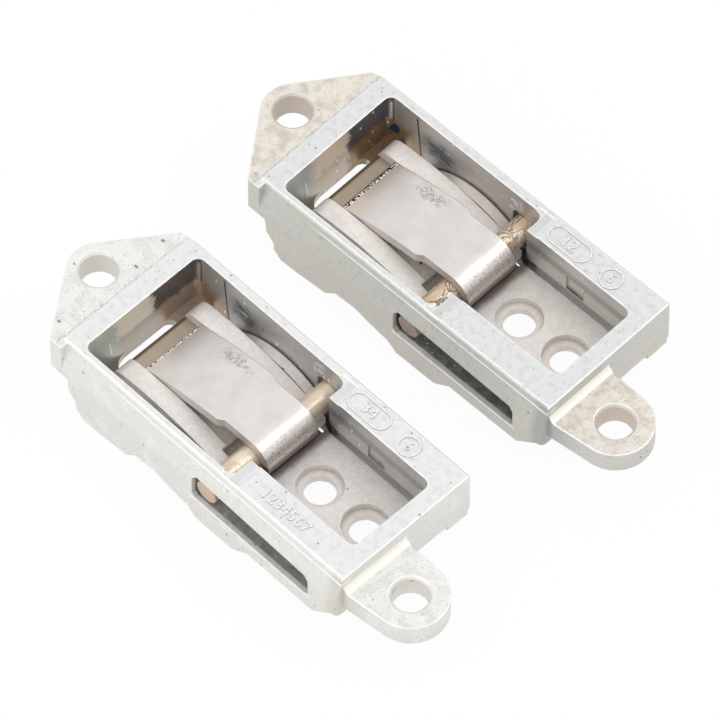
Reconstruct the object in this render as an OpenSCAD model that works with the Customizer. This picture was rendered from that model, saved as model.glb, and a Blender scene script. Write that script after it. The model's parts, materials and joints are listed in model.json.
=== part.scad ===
// Pair of two-stage tablet hinges, each a die-cast housing around a curved-slot friction mechanism.
// Millimetres. Each hinge is drawn with x = 0 at the flange-side wall of its window, y = 0 in the
// middle of its rim and z = 0 at the top of the rim, and is then placed beside the other one.

/* [Rim and window] */
// Length of the rim along x
rim_l = 20.4; // [20.1:0.1:21.5]
// Width of the rim along y
rim_w = 9.0; // [8.9:0.1:9.8]
// Thickness of the end wall beside the flange
end_wall = 1.12; // [0.9:0.02:1.4]
// Length of the window
window_l = 18.25; // [18.1:0.05:18.5]
// Thickness of the side wall on the lug side
wall_lug = 0.4; // [0.38:0.01:0.5]
// Thickness of the other side wall
wall_far = 0.54; // [0.52:0.01:0.6]
// Length of the window's wide part beyond the pin
pin_room = 0.55; // [0.5:0.01:0.7]
// Width of the two rails beside the window's narrow part
rail_w = 1.77; // [1.7:0.01:1.85]
// Thickness of the two rails
rail_t = 2.55; // [2.4:0.05:2.7]
// How far the rails stand out over the walls below them
rail_step = 0.22; // [0.15:0.01:0.3]
// Radius of the rim's outer corners
rim_r = 0.35; // [0.2:0.05:0.6]
// Radius of the window's corners
window_r = 0.45; // [0.3:0.05:0.7]
// Chamfer along the rim's top edges
edge_c = 0.1; // [0.05:0.01:0.15]

/* [Housing sides] */
// Depth of the housing from the rim to its feet
depth = 5.1; // [5.0:0.02:5.4]
// How far the lower body stands out past the rim on the lug side
skirt_lug = 0.45; // [0.3:0.05:0.6]
// How far the lower body stands out past the rim on the other side
skirt_far = 0.2; // [0.15:0.05:0.4]
// Height of the sloping band below the rim
band_h = 1.9; // [1.5:0.1:2.2]
// Height of the end wall beside the lug
front_h = 3.05; // [2.8:0.05:3.1]
// Extra height of that wall's corner foot
corner_h = 0.35; // [0.2:0.05:0.4]
// Width of that corner foot
corner_w = 1.8; // [1.5:0.1:2.2]
// Height of the end wall beside the flange
back_h = 3.9; // [3.8:0.05:4.1]
// Width of the light gap between the flange-side corners
gap_w = 4.27; // [4.0:0.01:4.6]
// Offset of that gap towards the lug side
gap_y = 0.27; // [0.1:0.01:0.4]
// Radius of that gap's corner on the lug side
gap_r = 1.1; // [0.6:0.05:1.2]
// Thickness of the floor in the flange-side corners
floor_t = 0.5; // [0.4:0.05:0.7]

/* [Underside] */
// Start of the foot near the flange
rear_x = 0.7; // [0.6:0.05:0.9]
// Length of that foot
rear_l = 0.9; // [0.7:0.05:1.2]
// Start of the arch between the two feet
arch_x = 3.9; // [3.6:0.1:4.2]
// Length of the arch
arch_l = 4.45; // [4.2:0.05:4.6]
// Height of the arch
arch_h = 1.05; // [0.8:0.05:1.1]
// Start of the middle foot
foot_x = 8.95; // [8.8:0.05:9.1]
// Length of the middle foot
foot_l = 2.65; // [2.4:0.05:2.8]
// Length of the slope beside the middle foot
slope_l = 1.15; // [1.0:0.05:1.4]
// Height of the walls over the ground beyond that slope
side_gap = 0.8; // [0.7:0.05:0.9]
// Place where the walls' underside rises towards the lug
rise_x = 17.5; // [17.2:0.1:17.8]
// Length of that rise
rise_l = 1.4; // [1.2:0.1:1.6]
// How much the end wall beside the flange is cut back below it
heel_cut = 0.7; // [0.5:0.05:0.8]

/* [Side slot] */
// Start of the side slot
slot_x = 8.75; // [8.6:0.05:8.8]
// Length of the side slot
slot_l = 8.45; // [7.0:0.05:8.8]
// Height of the side slot
slot_h = 1.8; // [1.7:0.05:1.85]
// How much lower the slot is at its far end
slot_taper = 0.25; // [0:0.05:0.3]
// Cut across the slot's corners
slot_c = 0.25; // [0.1:0.05:0.4]

/* [Flange] */
// Distance of the flange hole from the window
flange_x = 2.98; // [2.9:0.02:3.2]
// Distance of the flange hole from the rim's centre line
flange_y = 0.25; // [0:0.05:0.4]
// Diameter of the flange hole
flange_d = 2.0; // [1.8:0.05:2.2]
// Radius of the flange's tip
flange_r = 1.68; // [1.5:0.02:1.9]
// Thickness of the flange at its hole
flange_t = 1.65; // [1.4:0.05:1.9]
// Thickness of the flange at its root
flange_root_t = 2.4; // [2.2:0.05:2.6]
// Drop of the flange's top face below the rim
flange_drop = 0.1; // [0.05:0.01:0.2]

/* [Lug] */
// Distance of the lug hole from the window's flange-side wall
lug_x = 21.75; // [21.6:0.01:22.2]
// Distance of the lug hole from the rim's centre line
lug_y = 2.13; // [2.0:0.01:2.3]
// Diameter of the lug hole
lug_d = 1.95; // [1.8:0.05:2.2]
// Radius of the lug's end
lug_r = 2.05; // [1.9:0.05:2.2]
// Thickness of the lug
lug_t = 1.37; // [1.2:0.01:1.6]
// Drop of the lug's top face below the rim
lug_drop = 1.15; // [1.0:0.05:1.3]
// Widening of the lug's outer flank at its root
lug_flare = 0.27; // [0.1:0.01:0.4]
// Radius of the hollow between the end wall and the lug's top
lug_fillet = 0.45; // [0.3:0.05:0.6]
// Chamfer of the holes in the flange and the lug
hole_c = 0.15; // [0.1:0.01:0.2]

/* [Hinge centre] */
// Place of the hinge centre along x
centre_x = 6.3; // [6.2:0.02:6.4]
// Depth of the hinge centre below the rim
centre_z = 6.9; // [6.88:0.02:7.0]
// Offset of the mechanism from the rim's centre line
mech_y = 0.12; // [0.08:0.01:0.16]
// Running clearance between the sliding arcs
run_gap = 0.06; // [0.04:0.01:0.08]

/* [Pin and band spring] */
// Diameter of the cross pin
pin_d = 1.36; // [1.2:0.02:1.4]
// How far the cross pin's ends stay inside the outer walls
pin_inset = 0.18; // [0.1:0.02:0.3]
// Place of the cross pin along x
pin_x = 9.64; // [9.6:0.01:9.7]
// Depth of the cross pin below the rim
pin_z = 2.22; // [2.2:0.01:2.26]
// Thickness of the band spring
band_t = 0.6; // [0.4:0.01:0.6]
// Radius of the band spring's bow
band_bow = 24; // [23.6:0.1:26]
// Place of the band spring's tip along x
band_tip = 2.1; // [1.9:0.05:2.4]
// Clearance between the band spring and the frame's rails
band_gap = 0.03; // [0.02:0.01:0.1]
// How much narrower the band spring is on each side of its bend
band_in = 0.22; // [0.15:0.01:0.3]
// Place where the band spring narrows
band_step = 7.4; // [7.0:0.05:7.8]

/* [Pressure frame] */
// Thickness of each of the frame's two rails
frame_t = 1.1; // [0.9:0.05:1.2]
// Radius of the crowned top of the rails
crown_r = 17.5; // [17:0.1:19]
// Highest point of the crown below the rim
crown_z = 1.95; // [1.9:0.01:2.0]
// Place of the crown's highest point along x
crown_x = 3.4; // [3.2:0.1:3.6]
// Radius of the rails' nose beside the light gap
nose_r = 0.8; // [0.5:0.05:0.9]
// Underside of the frame's ends below the rim
frame_low = 3.8; // [3.74:0.02:3.84]
// Start of the frame along x
frame_x = 0.86; // [0.84:0.01:1.0]
// End of the frame along x
frame_end = 10.1; // [9.9:0.05:10.2]
// Top of the frame's cross-bar below the rim
bar_z = 2.78; // [2.77:0.01:2.9]
// Length of that cross-bar
bar_l = 1.95; // [1.5:0.05:2.2]

/* [Support arm] */
// Outer radius of the support arm's wings
wing_r = 4.6; // [4.5:0.02:4.64]
// Inner radius of the support arm's wings
wing_in = 2.9; // [2.86:0.02:2.95]
// Thickness of each wing
wing_t = 0.57; // [0.5:0.01:0.6]
// Clearance between the wings and the housing's nearer wall
wing_play = 0.09; // [0.06:0.01:0.12]
// Inner radius of the support arm's ribs
rib_in = 3.65; // [3.6:0.05:3.75]
// Thickness of the support arm's ribs
rib_t = 0.5; // [0.4:0.05:0.6]
// How far those ribs reach into the housing's walls
rib_reach = 0.32; // [0.2:0.02:0.34]
// Outer radius of the web that joins the wings
web_r = 2.6; // [2.5:0.02:2.62]
// Underside of the moving pieces below the rim
belly_z = 4.9; // [4.86:0.01:4.94]

/* [Attachment plate] */
// Outer radius of the plate's curved tongue
tongue_r = 3.8; // [3.74:0.02:3.82]
// Inner radius of that tongue
tongue_in = 2.7; // [2.68:0.01:2.74]
// Clearance between that tongue and each wing
tongue_play = 0.08; // [0.05:0.01:0.1]
// Inner radius of the tongue's ribs
key_in = 3.0; // [2.98:0.01:3.1]
// Thickness of the tongue's ribs
key_t = 0.5; // [0.4:0.05:0.55]
// How far those ribs reach into the wings
key_reach = 0.32; // [0.2:0.02:0.34]
// Top face of the plate below the rim
plate_z = 3.29; // [3.2:0.01:3.4]
// Thickness of the plate
plate_t = 0.9; // [0.8:0.05:1.0]
// Clearance between the plate and the wall beside it
plate_gap = 0.23; // [0.1:0.01:0.3]
// Start of the plate's flat top along x
plate_x = 10.65; // [10.6:0.05:10.8]
// End of the plate along x
plate_end = 18.05; // [17.8:0.05:18.1]
// Radius of the plate's corners
plate_r = 1.75; // [1.2:0.05:1.9]
// Diameter of the two screw holes
screw_d = 1.75; // [1.6:0.01:1.8]
// Diameter of their counterbores
head_d = 2.54; // [2.3:0.02:2.7]
// Depth of their counterbores
head_t = 0.45; // [0.3:0.05:0.55]
// Place of the first screw hole along x
screw_x = 12.89; // [12.8:0.01:13.0]
// Distance between the two screw holes
screw_pitch = 3.3; // [3.0:0.05:3.4]

/* [Pair] */
// Distance between the two hinges along y
pair_y = 14.1; // [12:0.1:20]
// Shift of the second hinge along x
pair_x = -0.2; // [-2:0.1:2]
// Turn of the second hinge in degrees
pair_turn = 1.65; // [0:0.05:4]

/* [Hidden] */
$fn = 96;
e = 0.01;

// Outer faces of the housing
rim_a = -end_wall;
rim_b = rim_l - end_wall;
side_lug = rim_w / 2 + skirt_lug;
side_far = rim_w / 2 + skirt_far;
window_near = wall_lug - rim_w / 2;
window_far = rim_w / 2 - wall_far;
narrow_y = rim_w / 2 - rail_w;
inner_y = narrow_y + rail_step;

// Length of the window's wide part
wide_l = pin_x + pin_d / 2 + pin_room;

// Widths of the pieces that nest in the window and in each other
wing_w = 2 * (window_far - mech_y - wing_play);
wing_gap = wing_w - 2 * wing_t;
tongue_w = wing_gap - 2 * tongue_play;
frame_w = tongue_w;
frame_gap = frame_w - 2 * frame_t;
band_w = frame_gap - 2 * band_gap;
bend_w = band_w - 2 * band_in;
plate_w = 2 * (inner_y - mech_y - plate_gap);

// Bend of the band spring around the pin
bend_gap = 0.04;
slot_play = 0.05;
bend_in = pin_d / 2 + bend_gap;
bend_r = bend_in + band_t;
bow_z = -pin_z + bend_r - band_bow;
slot_z = -pin_z - slot_h / 2 + pin_d / 2 + slot_play;
floor_l = frame_x - 0.1;

// Radii that run beside the sliding arcs
groove_in = rib_in - run_gap;
groove_out = rib_in + rib_t + run_gap;
key_groove_in = key_in - run_gap;
key_groove_out = key_in + key_t + run_gap;
saddle_r = tongue_r + run_gap;

// Middle of the pair, which becomes the part's origin
function turned(p) = [
    p[0] * cos(pair_turn) + p[1] * sin(pair_turn) + pair_x,
    p[1] * cos(pair_turn) - p[0] * sin(pair_turn) - pair_y];
tip_a = [-flange_x, -flange_y];
end_a = [lug_x, -lug_y];
low_x = min(tip_a[0], turned(tip_a)[0]) - flange_r;
high_x = max(end_a[0], turned(end_a)[0]) + lug_r;
low_y = turned([rim_b - rim_r, rim_r - side_lug])[1] - rim_r;
high_y = side_far;
mid_x = (low_x + high_x) / 2;
mid_y = (low_y + high_y) / 2;

// Point where the line from p touches the circle of radius r about c, on the side s
function touch(p, c, r, s) =
    let (d = norm(p - c), a = atan2(p[1] - c[1], p[0] - c[0]) + s * acos(r / d))
    c + r * [cos(a), sin(a)];

// Rectangle with round corners, from corner p to corner q
module rounded(p, q, r) {
    translate(p + [r, 0]) square([q[0] - p[0] - 2 * r, q[1] - p[1]]);
    translate(p + [0, r]) square([q[0] - p[0], q[1] - p[1] - 2 * r]);
    for (x = [p[0] + r, q[0] - r], y = [p[1] + r, q[1] - r]) translate([x, y]) circle(r);
}

// Side view shape, drawn in x and z, that spans from y0 to y1
module across(y0, y1) {
    translate([0, y1, 0]) rotate([90, 0, 0]) linear_extrude(y1 - y0) children();
}

// Part of a ring about the hinge centre that lies above the belly
module arc_shape(r_in, r_out) {
    translate([centre_x, -centre_z]) difference() {
        circle(r_out);
        circle(r_in);
        translate([-r_out - 1, -r_out - 1]) square([2 * r_out + 2, r_out + 1 + centre_z - belly_z]);
    }
}

// Side view of the housing: rim, feet, arch and end steps
module side_profile() {
    base = -depth;
    foot_c = 0.2;
    rear_c = 0.5;
    foot_end = foot_x + foot_l;
    heel = rim_a + heel_cut;
    root = -flange_drop - flange_root_t;
    polygon([
        [rim_a, 0], [rim_b, 0], [rim_b, -front_h], [rise_x + rise_l, -front_h], [rise_x, base + side_gap],
        [foot_end + slope_l, base + side_gap], [foot_end + foot_c, base + foot_c / 2], [foot_end, base],
        [foot_x, base], [foot_x - foot_c, base + foot_c], [arch_x + arch_l, base + arch_h * 0.5],
        [arch_x + arch_l * 0.72, base + arch_h * 0.7], [arch_x + arch_l * 0.47, base + arch_h],
        [arch_x + arch_l * 0.16, base + arch_h * 0.9], [arch_x, base + arch_h * 0.25],
        [rear_x + rear_l, base], [rear_x, base], [rear_x - rear_c, base + rear_c],
        [rear_x - rear_c, base + 2 * rear_c], [heel + foot_c / 2, -back_h + 2 * foot_c], [heel, root],
        [rim_a, root]]);
}

// End view of the housing: rim with its two sloping bands
module end_profile() {
    polygon([
        [-rim_w / 2 + edge_c, 0], [rim_w / 2 - edge_c, 0], [rim_w / 2, -edge_c], [side_far, -band_h],
        [side_far, -depth], [-side_lug, -depth], [-side_lug, -band_h], [-rim_w / 2, -edge_c]]);
}

// Outer body before the window is cut
module body_block() {
    intersection() {
        across(-side_lug, side_far) side_profile();
        rotate([90, 0, 90]) translate([0, 0, rim_a]) linear_extrude(rim_l) end_profile();
        translate([0, 0, -depth]) linear_extrude(depth)
            rounded([rim_a, -side_lug], [rim_b, side_far], rim_r);
    }
}

// Outline of the flange, with straight sides that run into its round tip
module flange_outline() {
    tip = [-flange_x, -flange_y];
    lug_side = [rim_a - 0.5, -side_lug];
    far_side = [rim_a - 0.6, rim_w / 2 - 0.2];
    polygon([
        [rim_a + 0.3, -side_lug], lug_side, touch(lug_side, tip, flange_r, -1), tip,
        touch(far_side, tip, flange_r, 1), far_side, [rim_a - 0.15, rim_w / 2 - 0.05],
        [rim_a + 0.3, rim_w / 2 - 0.05]]);
    translate(tip) circle(flange_r);
}

// Flange at the end of the housing, thicker where it meets the end wall
module flange() {
    translate([0, 0, -flange_drop - flange_t]) linear_extrude(flange_t) flange_outline();
    intersection() {
        translate([0, 0, -flange_drop - flange_root_t]) linear_extrude(flange_root_t) flange_outline();
        translate([rim_a - 0.65, -side_lug, -depth]) cube([1, 2 * side_lug, depth]);
    }
}

// Outline of the lug, with a hollow inner flank and a flared outer one
module lug_outline() {
    hollow_r = 0.5;
    sink = 0.2;
    centre = [lug_x, -lug_y];
    root = [rim_b + sink, -lug_y - lug_r - lug_flare];
    translate(centre) circle(lug_r);
    polygon([
        [rim_b - sink, root[1]], root, touch(root, centre, lug_r, 1), centre, centre + [0, lug_r],
        [rim_b - sink, lug_r - lug_y]]);
    difference() {
        translate([rim_b - sink, lug_r - lug_y - hollow_r]) square([hollow_r + sink, 2 * hollow_r]);
        translate([rim_b + hollow_r, lug_r + hollow_r - lug_y]) circle(hollow_r);
    }
}

module lug() {
    sink = 0.2;
    translate([0, 0, -lug_drop - lug_t]) linear_extrude(lug_t) lug_outline();
    intersection() {
        translate([0, 0, -lug_drop - sink]) linear_extrude(lug_fillet + sink) lug_outline();
        across(-side_lug, 0) difference() {
            translate([rim_b - sink, -lug_drop - sink]) square([lug_fillet + sink, lug_fillet + sink]);
            translate([rim_b + lug_fillet, lug_fillet - lug_drop]) circle(lug_fillet);
        }
    }
}

// Upright hole with a chamfer at its top
module ear_hole(d, top) {
    translate([0, 0, -depth]) cylinder(d = d, h = depth + 1);
    translate([0, 0, top - hole_c]) cylinder(d1 = d, d2 = d + 2 * hole_c, h = hole_c);
    translate([0, 0, top]) cylinder(d = d + 2 * hole_c, h = 1);
}

// Light gap in the floor, with a large round corner on the lug side
module light_gap() {
    reach = floor_l + 1;
    low = -gap_y - gap_w / 2;
    high = -gap_y + gap_w / 2;
    translate([0, low + gap_r]) square([reach, gap_w - gap_r - window_r]);
    translate([window_r, high - window_r]) square([reach - window_r, window_r]);
    translate([window_r, high - window_r]) circle(window_r);
    translate([gap_r, low]) square([reach - gap_r, gap_r]);
    translate([gap_r, low + gap_r]) circle(gap_r);
}

// Window through the top of the housing, with the cavity that opens downwards below it
module window() {
    low = -depth - 1;
    translate([0, 0, -rail_t]) linear_extrude(rail_t + 1)
        rounded([wide_l - 2 * window_r, -narrow_y], [window_l, narrow_y], window_r);
    translate([0, 0, floor_t - back_h]) linear_extrude(back_h - floor_t + 1)
        rounded([0, window_near], [wide_l, window_far], window_r);
    translate([0, 0, low]) linear_extrude(-rail_t - low)
        rounded([floor_l, window_near], [wide_l, window_far], window_r);
    translate([wide_l - 2 * window_r, -inner_y, low])
        cube([window_l - wide_l + 2 * window_r, 2 * inner_y, -rail_t - low]);
    translate([0, window_near, low]) cube([floor_l + window_r, window_far - window_near, -back_h - low]);
    translate([0, 0, low]) linear_extrude(depth) light_gap();
}

// Shallow recess in the inner face of one rail
module rail_recess() {
    recess = [1.2, 0.1, 1.05];
    recess_x = 13.7;
    recess_z = 1.4;
    translate([recess_x, narrow_y - e, -recess_z - recess[2]]) cube([recess[0], recess[1] + e, recess[2]]);
}

// Pockets in both sides, which open into the window where the pin's ends sit
module side_slot() {
    low = slot_z - slot_h / 2;
    high = slot_z + slot_h / 2;
    end = slot_x + slot_l;
    for (y = [[-side_lug - 1, window_near + e], [window_far - e, side_far + 1]]) across(y[0], y[1])
        polygon([
            [slot_x + slot_c, low], [end - slot_c, low], [end, low + slot_c],
            [end, high - slot_taper - slot_c], [end - slot_c, high - slot_taper], [slot_x + slot_c, high],
            [slot_x, high - slot_c], [slot_x, low + slot_c]]);
}

// Curved grooves in the side walls that carry the support arm's ribs
module wall_grooves() {
    side = rib_reach + run_gap;
    across(window_near - side, window_far + side) translate([centre_x, -centre_z]) difference() {
        circle(groove_out);
        circle(groove_in);
    }
}

// Shallow seats at the inner ends of the rails
module rail_seats() {
    seat_l = 0.75;
    seat_w = 1.45;
    seat_t = 0.1;
    seat_r = 0.2;
    for (s = [-1, 1]) translate([0, s * (narrow_y + seat_w / 2), -seat_t]) linear_extrude(1)
        rounded([wide_l - 0.5, -seat_w / 2 - seat_r], [wide_l + seat_l, seat_w / 2], seat_r);
}

// Notch under the end wall beside the lug, between the lug and the corner foot
module front_foot() {
    sink = 0.3;
    translate([window_l, side_far - corner_w, -front_h - corner_h])
        cube([rim_b - window_l, corner_w - rim_r, corner_h + sink]);
}

module housing() {
    color([0.80, 0.81, 0.79]) difference() {
        union() {
            body_block();
            flange();
            front_foot();
            lug();
        }
        window();
        side_slot();
        wall_grooves();
        rail_seats();
        rail_recess();
        translate([-flange_x, -flange_y, 0]) ear_hole(flange_d, -flange_drop);
        translate([lug_x, -lug_y, 0]) ear_hole(lug_d, -lug_drop);
    }
}

// Cross pin that holds the bend of the band spring
module spring_pin() {
    pin_l = side_lug + side_far - 2 * pin_inset;
    color([0.80, 0.70, 0.55]) translate([pin_x, side_far - pin_inset, -pin_z]) rotate([90, 0, 0])
        cylinder(d = pin_d, h = pin_l);
}

// Bowed strip of the band spring, seen from the side
module band_strip() {
    translate([pin_x, bow_z]) intersection() {
        difference() {
            circle(band_bow, $fn = 360);
            circle(band_bow - band_t, $fn = 360);
        }
        translate([band_tip - pin_x, 0]) square([pin_x - band_tip, band_bow + 1]);
    }
}

// Bend of the band spring around the pin, with a short hook below it
module band_bend() {
    hook_l = 0.45;
    translate([pin_x, -pin_z]) difference() {
        union() {
            circle(bend_r);
            translate([-hook_l, -bend_r]) square([hook_l, band_t]);
        }
        circle(bend_in);
        translate([-bend_r - 1, -bend_in]) square([bend_r + 1, 2 * bend_r]);
        translate([-bend_r - hook_l - 1, -bend_r - 1]) square([bend_r + 1, 2 * bend_r + 2]);
    }
}

module band_spring() {
    color([0.72, 0.69, 0.67]) translate([0, mech_y, 0]) {
        intersection() {
            across(-band_w / 2, band_w / 2) band_strip();
            translate([0, 0, -depth]) linear_extrude(depth) {
                translate([0, -bend_w / 2]) square([pin_x + 1, bend_w]);
                polygon([
                    [band_tip - e, -band_w / 2], [band_step, -band_w / 2], [band_step + 0.35, -bend_w / 2],
                    [band_step + 0.35, bend_w / 2], [band_step, band_w / 2], [band_tip - e, band_w / 2]]);
            }
        }
        across(-bend_w / 2, bend_w / 2) band_bend();
    }
}

// Crowned rail of the pressure frame with a round nose, hollow below where it rides on the tongue
module frame_rail() {
    nose_x = frame_x + nose_r;
    nose_z = sqrt(pow(crown_r - nose_r, 2) - pow(nose_x - crown_x, 2)) - crown_z - crown_r;
    difference() {
        union() {
            intersection() {
                translate([crown_x, -crown_z - crown_r]) circle(crown_r, $fn = 360);
                translate([nose_x, -frame_low]) square([frame_end - nose_x, frame_low]);
            }
            translate([nose_x, nose_z]) circle(nose_r);
            translate([frame_x, -frame_low]) square([nose_r, frame_low + nose_z]);
        }
        translate([centre_x, -centre_z]) circle(saddle_r);
    }
}

// Thin web of the pressure frame between its rails, which presses on the tongue
module frame_web() {
    web_t = 0.4;
    web_end = 8.0;
    translate([centre_x, -centre_z]) intersection() {
        difference() {
            circle(saddle_r + web_t);
            circle(saddle_r);
        }
        translate([frame_x + bar_l - centre_x, centre_z - frame_low])
            square([web_end - frame_x - bar_l, frame_low]);
    }
}

module pressure_frame() {
    relief_x = 8.15;
    relief_w = 0.35;
    color([0.66, 0.62, 0.60]) translate([0, mech_y, 0]) difference() {
        union() {
            for (s = [-1, 1]) translate([0, s * (frame_gap + frame_w) / 4, 0])
                across(-(frame_w - frame_gap) / 4, (frame_w - frame_gap) / 4) frame_rail();
            across(-frame_gap / 2 - e, frame_gap / 2 + e) {
                translate([frame_x, -frame_low]) square([bar_l, frame_low - bar_z]);
                frame_web();
            }
        }
        for (s = [-1, 1]) translate([relief_x, s * frame_gap / 2 - relief_w, -depth])
            cube([frame_end, 2 * relief_w, depth]);
        translate([0, -mech_y, 0]) across(-rim_w, rim_w) translate([pin_x, -pin_z]) circle(d = pin_d + 0.06);
    }
}

module support_arm() {
    color([0.62, 0.58, 0.56]) difference() {
        union() {
            for (s = [-1, 1]) {
                inner = mech_y + s * wing_gap / 2;
                outer = mech_y + s * wing_w / 2;
                across(min(inner, outer), max(inner, outer)) {
                    arc_shape(wing_in, wing_r);
                    arc_shape(e, web_r);
                    intersection() {
                        arc_shape(e, wing_r);
                        translate([centre_x - web_r / 2, -centre_z]) square([web_r, wing_r]);
                    }
                }
            }
            across(window_near - rib_reach, mech_y - wing_w / 2 + e) arc_shape(rib_in, rib_in + rib_t);
            across(mech_y + wing_w / 2 - e, window_far + rib_reach) arc_shape(rib_in, rib_in + rib_t);
            across(mech_y - wing_gap / 2 - e, mech_y + wing_gap / 2 + e) arc_shape(e, web_r);
        }
        for (s = [-1, 1]) {
            y = s * (wing_gap / 2 + key_reach + run_gap);
            translate([0, mech_y, 0]) across(min(y, 0), max(y, 0))
                translate([centre_x, -centre_z]) difference() {
                    circle(key_groove_out);
                    circle(key_groove_in);
                }
        }
    }
}

// Curved tongue of the attachment plate with its two side ribs
module tongue() {
    trail = 55;
    across(-tongue_w / 2, tongue_w / 2) arc_shape(tongue_in, tongue_r);
    intersection() {
        across(-wing_gap / 2 - key_reach, wing_gap / 2 + key_reach) arc_shape(key_in, key_in + key_t);
        translate([centre_x - tongue_r * sin(trail), -wing_w / 2, -depth])
            cube([2 * tongue_r * sin(trail), wing_w, depth]);
    }
}

// Neck between the tongue and the flat plate, which stays below the pressure frame
module neck() {
    neck_top = frame_low + 0.1;
    across(-plate_w / 2, plate_w / 2) difference() {
        polygon([
            [centre_x + tongue_in, -belly_z], [centre_x + tongue_in, -neck_top - 0.5],
            [centre_x + tongue_in + 0.5, -neck_top], [plate_x - 0.15, -neck_top], [plate_x, -plate_z],
            [plate_x + 0.8, -plate_z], [plate_x + 0.8, -plate_z - plate_t], [plate_x, -belly_z]]);
        translate([centre_x, -centre_z]) circle(tongue_in);
    }
}

module attachment_plate() {
    color([0.64, 0.59, 0.58]) translate([0, mech_y, 0]) difference() {
        union() {
            tongue();
            neck();
            translate([0, 0, -plate_z - plate_t]) linear_extrude(plate_t) {
                rounded([plate_x + 1, -plate_w / 2], [plate_end, plate_w / 2], plate_r);
                translate([plate_x, -plate_w / 2]) square([plate_r + 2, plate_w]);
            }
        }
        for (i = [0, 1]) translate([screw_x + i * screw_pitch, 0, 0]) {
            translate([0, 0, -depth]) cylinder(d = screw_d, h = depth);
            translate([0, 0, -plate_z - head_t]) cylinder(d = head_d, h = depth);
        }
    }
}

// Places of the two hinges, with their feet on z = 0
module place_a() {
    translate([-mid_x, -mid_y, depth]) children();
}

module place_b() {
    translate([pair_x - mid_x, -pair_y - mid_y, depth]) rotate([0, 0, -pair_turn]) children();
}

place_a() housing();  // housing_a
place_a() spring_pin();  // spring_pin_a
place_a() band_spring();  // band_spring_a
place_a() pressure_frame();  // pressure_frame_a
place_a() support_arm();  // support_arm_a
place_a() attachment_plate();  // attachment_plate_a
place_b() housing();  // housing_b
place_b() spring_pin();  // spring_pin_b
place_b() band_spring();  // band_spring_b
place_b() pressure_frame();  // pressure_frame_b
place_b() support_arm();  // support_arm_b
place_b() attachment_plate();  // attachment_plate_b
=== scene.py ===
"""Looks of a pair of tablet hinges: die-cast housings, sintered arms and plates, a band spring on a pin."""
import json
import math

import bmesh
import bpy
from mathutils import Matrix, Vector

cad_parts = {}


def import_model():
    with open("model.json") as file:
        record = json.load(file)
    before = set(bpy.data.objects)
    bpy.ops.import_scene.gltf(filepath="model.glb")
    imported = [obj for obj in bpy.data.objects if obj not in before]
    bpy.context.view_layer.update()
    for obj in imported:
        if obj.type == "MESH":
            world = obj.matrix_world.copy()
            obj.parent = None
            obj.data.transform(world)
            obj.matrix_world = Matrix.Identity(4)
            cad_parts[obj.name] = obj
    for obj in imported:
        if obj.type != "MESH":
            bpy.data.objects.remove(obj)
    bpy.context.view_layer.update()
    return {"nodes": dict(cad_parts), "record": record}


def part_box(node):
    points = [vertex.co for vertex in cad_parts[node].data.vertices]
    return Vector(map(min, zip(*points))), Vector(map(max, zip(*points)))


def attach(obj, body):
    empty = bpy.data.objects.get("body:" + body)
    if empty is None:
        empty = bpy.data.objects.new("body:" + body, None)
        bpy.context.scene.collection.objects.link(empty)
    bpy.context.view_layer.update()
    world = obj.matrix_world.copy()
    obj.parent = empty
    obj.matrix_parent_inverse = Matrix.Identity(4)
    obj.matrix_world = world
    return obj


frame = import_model()

MM = 0.001
SIDES = ("a", "b")
DISPLAY_GAMMA = 2.2

# The camera that the photograph was taken with, worked out from the rim's corners of both hinges
VIEW_AZIMUTH = math.radians(44.075)
VIEW_ELEVATION = math.radians(56.362)
VIEW_DISTANCE = 575.5 * MM
PIXELS_PER_MM = 19.613
IMAGE_SIDE = 720
SENSOR = 36
AIM = (8.7, -7.0)  # a point of hinge A in its own millimetres
AIM_PIXEL = (364.37, 318.09)

# Places on each hinge in its own millimetres, as the part's source has them
FLANGE_HOLE = (-2.98, -0.25)
LUG_HOLE = (21.75, -2.13)
RIM_A, RIM_B = -1.12, 19.28
WINDOW_NEAR, WINDOW_FAR = -4.10, 3.96
WINDOW_L = 18.25
BAND_TIP = 2.1
PIN_X = 9.64
SLOT_X, SLOT_END = 8.75, 17.2
SLOT_LOW, SLOT_HIGH = -3.29, -1.49

# Shift in millimetres that makes the second hinge's stains and specks its own
PATTERN_DRIFT = (43.7, 21.3, 8.9)

# Stains, and spots of painted shadow by the pin, that have one place on a hinge: centre and radii
SPOTS = {
    "far_blotch": ((3.4, WINDOW_FAR, -1.9), (1.5, 1, 1.1)),
    "far_grease": ((8.95, WINDOW_FAR, -1.1), (0.6, 1, 0.8)),
    "pin_corner": ((10.6, 3.3, -3.0), (1.1, 1.2, 1.3)),
    "window_ink": ((0.36, 3.92, -2.7), (0.36, 0.6, 0.45)),
    "bore_ink": ((21.0, -2.4, -1.55), (0.32, 0.3, 0.3)),
    "arm_end": ((10.2, 3.2, -4.2), (1.0, 1.0, 1.5)),
    "leaf_rub": ((5.4, 1.5, -1.2), (1.5, 0.5, 1.5)),
}

# Casting pits on the second hinge's flange
PITS_B = ((-1.98, 3.36), (-1.78, 1.26), (-2.09, -3.88))
PIT_RADII = (0.17, 0.13, 0.3)
FLANGE_TOP = -0.1

# Raised cast marks on the rails: how far they stand proud and reach in, and the width of a ring's line
MARK_H, MARK_SINK, MARK_W = 0.04, 0.03, 0.09
RING_STEPS = 48

# Each mark's place, half of its ring's straight length, the ring's radius, the digits and their height
MARKS = {
    "a": {"mould": ((13.1, 3.58), 0.78, 0.56, "12", 1.0), "date": ((16.1, 3.5), 0.0, 0.6, "5", 0.85)},
    "b": {"mould": ((12.95, 3.58), 0.78, 0.56, "34", 1.0), "date": ((15.875, 3.5), 0.0, 0.6, "6", 0.85)},
}
RAIL_NUMBER = ((14.3, -3.66), "1234567", 0.95)

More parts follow.
